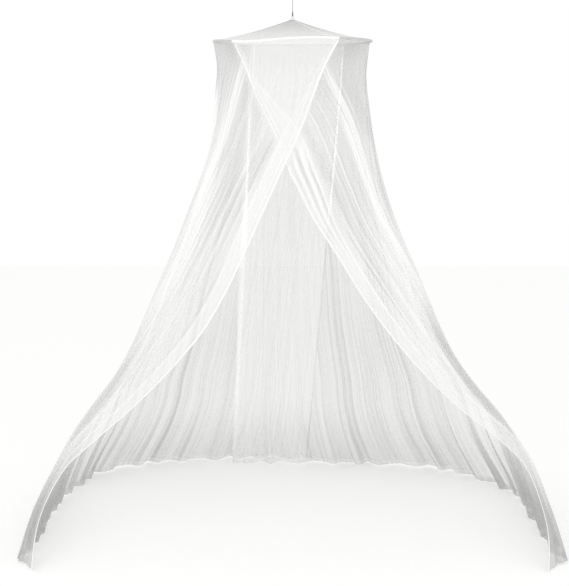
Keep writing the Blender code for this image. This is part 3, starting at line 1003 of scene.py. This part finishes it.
def gather_depth(panel, cloth, across, fall):
    """How far the fine gathers carry the net outward.  They start under the band, run the
    whole drop and wander, and a broader set grows among them."""
    seed = FOLD_SEED[panel]
    turn = math.tau * cloth.gathers * across
    turn += 2.6 * math.sin(19.0 * across + seed) + 1.5 * math.sin(47.0 * across + 2.0 * seed)
    turn += 0.7 * fall * math.sin(31.0 * across + 3.0 * seed)
    strength = 0.62 + 0.75 * noise.noise(Vector((26.0 * across, 2.4 * fall, seed)))
    wave = math.sin(turn) + 0.22 * math.sin(2.0 * turn + 1.0)
    broad = math.sin(0.37 * turn + 5.0 * seed) * (0.2 + 0.9 * fall)
    swell = 0.16 + 0.84 * fall ** 0.9
    return cloth.gather_depth * (strength * wave + 0.7 * broad) * swell


def margin_fade(across, fall):
    """0 at a panel's flat edges and under the band, and 1 on its gathered width."""
    start = min(max(fall - 0.006, 0.0) / 0.030, 1.0)
    inside = min(across / FRONT_MARGIN, (1.0 - across) / BACK_MARGIN, 1.0)
    return start * max(inside - 0.55, 0.0) / 0.45


def doubled_net(panel, section, angle, place):
    """1 where the other panel lies over or under this one, at the front or at the back."""
    if panel == "right":
        beyond = math.radians(section.left_edge) - angle
    else:
        beyond = angle - math.radians(section.right_edge)
    front = smooth_step(beyond, -0.03, 0.05)
    other = "left" if panel == "right" else "right"
    past = back_edge(other, fallen(section.height)) - place.x
    if panel == "left":
        past = -past
    return max(front, smooth_step(past, -0.003, 0.006) * (place.y > 0.0))


def net_layers(fall, fullness, doubled, value, behind):
    """How many layers of net stand in the wall where it isn't turned over."""
    gathered = 1.30 * fullness ** 0.6 * (1.0 - 0.50 * doubled)
    # Denser close under the hoop, in the full hem and at the back
    gathered *= 1.0 + 0.7 * (1.0 - doubled) * (1.0 - smooth_step(fall, 0.0, 0.05))
    gathered *= 1.0 + 0.9 * smooth_step(fall, 0.82, 1.0)
    gathered *= 1.0 + 0.35 * behind
    # and where a pleat is closed
    return gathered * max(1.0 + (1.3 if value > 0.0 else 0.45) * value, 0.3)


def net_white_and_shade(across, fall, doubled, value, hemmed, behind):
    """How white the net looks, from 0 where it is drawn smooth to 1 where it is bunched, and
    lower where painted shade lies under the hoop, at the back and by the hem.
    """
    # Down the drop: painted shade under the hoop, whitest at the crossing and below it
    white = 0.44 + 0.32 * smooth_step(fall, 0.24, 0.44)
    side = smooth_step(across, 0.22, 0.30)
    white -= 0.34 * (1.0 - smooth_step(fall, 0.02, 0.13 + 0.09 * side))
    white -= 0.10 * smooth_step(fall, 0.50, 0.70)
    # Painted shade on the back half of the skirt
    white -= behind * (0.14 + 0.40 * smooth_step(fall, 0.20, 0.40))
    # The full stretch beside the front edge
    width = 0.056 + 0.042 * smooth_step(fall, 0.20, 0.45)
    beside_edge = 1.0 - smooth_step(across, width - 0.010, width + 0.012)
    white += (0.92 - white) * beside_edge * smooth_step(fall, 0.12, 0.20)
    # Where both panels lie over one another, where it is turned over and where it is pleated
    # Painted shade: less white where the doubled net is at the back
    over = 0.86 + 0.16 * smooth_step(fall, 0.02, 0.08) - 0.40 * behind
    white += (over - white) * doubled * (1.0 - 0.5 * behind)
    white += (1.0 - white) * (0.75 + 0.25 * behind) * hemmed
    white += (0.55 if value > 0.0 else 0.8) * value * (1.0 - 0.75 * doubled)
    # Painted shade that greys the spread hem, less of it at the back
    hem = smooth_step(fall, 0.78, 0.97) * (1.0 - 0.5 * behind)
    return min(max(white, 0.0), 1.0) * (1.0 - 0.88 * hem)


def side_on(outward):
    """1 at the canopy's two sides, where its folds stand close together and shade each other,
    and 0 toward the front and the back."""
    return math.exp(-((outward.y + 0.12) / 0.16) ** 2)


def column_places(cloth):
    """Where the columns of a panel's mesh stand, from its front edge to its back edge."""
    count = cloth.gathers * GATHER_STEPS
    return [index / count for index in range(count + 1)]


def row_heights():
    """Heights of the rows, closer together under the band where the gathers begin and at
    the turned hem."""
    top = HOOP_HEIGHT - 0.001
    heights = [top, top - 0.004, top - 0.008, top - 0.013, top - 0.021, top - 0.034]
    start = heights[-1] - 0.014
    count = PANEL_ROWS - len(heights) - 3
    heights += [start * (1.0 - step / count) + HEM_TURNED * 1.2 * step / count
                for step in range(count + 1)]
    return heights + [HEM_TURNED, HEM_TURNED * 0.5, 0.0]


def edge_place(panel, height, front):
    """The point of a panel's front or back edge at a height, with the directions inward along
    the panel and outward from it."""
    line = wall_line(panel, height)
    (_, edge, outward), (_, beside, _) = line[:2] if front else line[:-3:-1]
    place = edge + outward * layer_offset(panel, fallen(height), outward)
    place.z = cloth_level(height, 0.0 if front else 1.0)
    return place, (beside - edge).normalized(), outward


def edge_swing(panel, height):
    """How much wider a panel's flat front margin is where its edge swings out to cross."""
    return (EDGE_SWING[panel] * smooth_step(2.0 - height, 0.0, 0.24)
            * smooth_step(height, 1.22, 1.62))


def panel_mesh(panel, cloth):
    """One hung panel, row by row down the skirt and column by column from its front edge."""
    folds = main_folds(panel)
    places = column_places(cloth)
    pleats = closed_pleats(panel)
    near = [[pleat for pleat in pleats
             if abs(across - pleat.across) < 3.2 * pleat.width + 0.004] for across in places]
    hem_length = wall_line(panel, 0.0)[-1][0]
    points, uvs, layers, whites = [], [], [], []
    for height in row_heights():
        line = wall_line(panel, height)
        total = line[-1][0]
        fall = fallen(height)
        section = section_at(height)
        first_angle, last_angle = edge_angles(panel, section)
        tuck = TUCK * smooth_step(height, HOOP_HEIGHT - 0.012, HOOP_HEIGHT - 0.006)
        turned_up = height <= HEM_TURNED
        turned = FRONT_TURNED[0]
        turned += (FRONT_TURNED[1] - FRONT_TURNED[0]) * smooth_step(fall, 0.05, 0.19)
        swing = edge_swing(panel, height)
        turned += swing
        index = 1
        for column, across in enumerate(places):
            wanted = across * (total - swing) + swing * min(across / FRONT_MARGIN, 1.0)
            while index < WALL_STEPS and line[index][0] < wanted:
                index += 1
            before, after = line[index - 1], line[index]
            share = (wanted - before[0]) / (after[0] - before[0])
            outward = before[2].lerp(after[2], share).normalized()
            place = before[1].lerp(after[1], share)
            angle = first_angle + (last_angle - first_angle) * (index - 1 + share) / WALL_STEPS
            doubled = doubled_net(panel, section, angle, place)
            value = pleat_value(near[column], across, height)
            fade = margin_fade(across, fall)
            stands = layer_offset(panel, fall, outward) - LAYER_SIDE[panel] * tuck
            stands += fold_depth(folds, across, fall)
            stands += gather_depth(panel, cloth, across, fall) * fade * (1.0 - 0.7 * doubled)
            stands += PLEAT_DEPTH * value * fade * (0.4 + 0.6 * fall)
            place += outward * stands
            place.z = cloth_level(height, across)
            points.append(place)
            uvs.append((across * PANEL_CUT[0], HOOP_HEIGHT - height))
            fold_line = math.exp(-((wanted - turned) / FOLD_LINE) ** 2)
            hemmed = max(wanted < turned, total - wanted < BACK_TURNED, turned_up)
            behind = smooth_step(outward.y, 0.30, 0.80)
            count = net_layers(fall, hem_length / total, doubled, value, behind)
            layers.append(count * (1.0 + 0.9 * hemmed + 1.2 * fold_line))
            white = net_white_and_shade(across, fall, doubled, value, max(hemmed, fold_line), behind)
            white += bunched_and_shaded_white(panel, across, height)
            white -= SIDE_GREYER * side_on(outward) * smooth_step(fall, 0.22, 0.34)
            whites.append(min(max(white, 0.0), 1.0))
    columns = len(places)
    # Where a gather's side turns away, more thread stands in each bit of the wall
    for here in range(len(points)):
        at = here % columns
        left = points[here - (at > 0)]
        right = points[here + (at < columns - 1)]
        slope = (right - left).length / wall_gap(points, here, columns, at)
        layers[here] *= min(max(slope, 1.0), 2.0)
    faces = grid_faces(len(points) // columns, columns)
    if panel == "left":
        faces = flipped(faces)
    return make_mesh(f"{panel}_netting", points, faces, uvs=uvs,
                     values={"net_layers": layers, "net_white_and_shade": whites})


def wall_gap(points, here, columns, at):
    """The length of wall under a point's two neighbours, measured over a whole gather."""
    reach = GATHER_STEPS
    low = max(at - reach, 0)
    high = min(at + reach, columns - 1)
    start, end = points[here - at + low], points[here - at + high]
    span = 2 if 0 < at < columns - 1 else 1
    return (end - start).length * span / (high - low)


def add_panel(panel, cloth):
    mesh = panel_mesh(panel, cloth)
    piece = add_piece(mesh, f"{panel}_skirt_panel", "net", netting())


# Painted glow that lightens each edge tape though it is no lamp, as (share of the fall,
# strength).  The back ones hang against the light, the left one behind two more nets.
TAPE_PAINTED_GLOW = {
    "right_front": ((0.04, 0.12), (0.13, 0.03)),
    "left_front": ((0.04, 0.12), (0.13, 0.03)),
    "right_back": ((0.08, 0.0), (0.17, 0.38), (0.30, 0.38), (0.46, 0.12)),
    "left_back": ((0.30, 0.85), (0.46, 0.12)),
}


def at_stop(stops, place):
    """The value at a place between smoothly joined (place, value) stops."""
    value = stops[0][1]
    for (start, low), (end, high) in zip(stops, stops[1:]):
        value += (high - low) * smooth_step(place, start, end)
    return value


def add_edge_tape(panel, edge):
    """Binding tape down one edge of a panel, on its outer face, a little crowned."""
    lift = NET / 2 + GAP + TAPE / 2
    heights = [height for height in row_heights() if height < HOOP_HEIGHT - TAPE_BELOW]
    points, uvs, glows = [], [], []
    for height in heights:
        place, inward, outward = edge_place(panel, height, edge == "front")
        # Painted glow down the tape
        glow = at_stop(TAPE_PAINTED_GLOW[f"{panel}_{edge}"], fallen(height))
        for share, up in TAPE_PROFILE:
            glows.append(glow)
            points.append(place + inward * TAPE_SEEN * share + outward * (lift + TAPE * up))
            uvs.append((TAPE_SEEN * share, HOOP_HEIGHT - height))
    faces = capped_faces(len(heights), len(TAPE_PROFILE))
    if (panel == "left") != (edge == "back"):
        faces = flipped(faces)
    mesh = make_mesh(f"{panel}_{edge}_binding", points, faces, uvs=uvs,
                     values={"tape_painted_glow": glows}, sharp=50)
    piece = add_piece(mesh, f"{panel}_{edge}_edge_tape", "tape", tape())


# --- operators ------------------------------------------------------------------------------

class CANOPY_OT_stage(bpy.types.Operator):
    """Makes the studio: camera, floor, room and lights"""
    bl_idname = "canopy.stage"
    bl_label = "Stage"

    def execute(self, context):
        add_camera(context.scene.canopy_stage)
        add_world()
        add_floor()
        middle = (0.0, 0.0, level(1.1))
        add_light("key_light", (-2.6, -4.2, level(3.6)), middle, size=2.4, watts=24.0)
        add_light("fill_light", (3.2, -3.2, level(2.2)), middle, size=2.8, watts=9.0)
        context.scene.view_settings.view_transform = "Standard"
        # Enough to see the backdrop through every pleat of the net
        context.scene.cycles.transparent_max_bounces = 96
        return {"FINISHED"}


class CANOPY_OT_cord(bpy.types.Operator):
    """Makes the hanging cord with its knot and ceiling loop"""
    bl_idname = "canopy.cord"
    bl_label = "Cord"

    def execute(self, context):
        piece, path = add_hanging_cord()
        on_it = [add_knot(), add_ceiling_loop()]
        return {"FINISHED"}


class CANOPY_OT_hoop(bpy.types.Operator):
    """Makes the hoop's rod and the binding over it"""
    bl_idname = "canopy.hoop"
    bl_label = "Hoop"

    def execute(self, context):
        add_rod()
        add_band()
        return {"FINISHED"}


class CANOPY_OT_roof(bpy.types.Operator):
    """Makes the net roof, its drawn-up tip and the cord's sleeve"""
    bl_idname = "canopy.roof"
    bl_label = "Roof"

    def execute(self, context):
        add_roof()
        add_apex()
        add_sleeve()
        return {"FINISHED"}


class CANOPY_OT_panels(bpy.types.Operator):
    """Makes the two gathered net panels"""
    bl_idname = "canopy.panels"
    bl_label = "Panels"

    def execute(self, context):
        for panel in ("right", "left"):
            add_panel(panel, context.scene.canopy_cloth)
        return {"FINISHED"}


class CANOPY_OT_tapes(bpy.types.Operator):
    """Makes the four edge tapes"""
    bl_idname = "canopy.tapes"
    bl_label = "Edge tapes"

    def execute(self, context):
        for panel in ("right", "left"):
            for edge in ("front", "back"):
                add_edge_tape(panel, edge)
        return {"FINISHED"}


class CANOPY_PT_panel(bpy.types.Panel):
    """The canopy's settings and the operators that make it"""
    bl_idname = "CANOPY_PT_panel"
    bl_label = "Mosquito net canopy"
    bl_space_type = "VIEW_3D"
    bl_region_type = "UI"
    bl_category = "Canopy"

    def draw(self, context):
        scene = context.scene
        for settings in (scene.canopy_cloth, scene.canopy_colours, scene.canopy_stage):
            box = self.layout.box()
            for name in settings.__annotations__:
                box.prop(settings, name)
        for operator in OPERATORS:
            self.layout.operator(operator.bl_idname)


SETTINGS = {"canopy_cloth": CanopyCloth, "canopy_colours": CanopyColours,
            "canopy_stage": CanopyStage}
OPERATORS = (CANOPY_OT_stage, CANOPY_OT_cord, CANOPY_OT_hoop, CANOPY_OT_roof,
             CANOPY_OT_panels, CANOPY_OT_tapes)


def register():
    for group in (*SETTINGS.values(), *OPERATORS, CANOPY_PT_panel):
        bpy.utils.register_class(group)
    for name, group in SETTINGS.items():
        setattr(bpy.types.Scene, name, bpy.props.PointerProperty(type=group))


def unregister():
    for name in SETTINGS:
        delattr(bpy.types.Scene, name)
    for group in (CANOPY_PT_panel, *reversed(OPERATORS), *SETTINGS.values()):
        bpy.utils.unregister_class(group)


def main():
    register()
    bpy.ops.canopy.stage()
    bpy.ops.canopy.cord()
    bpy.ops.canopy.hoop()
    bpy.ops.canopy.roof()
    bpy.ops.canopy.panels()
    bpy.ops.canopy.tapes()


if __name__ == "__main__":
    main()
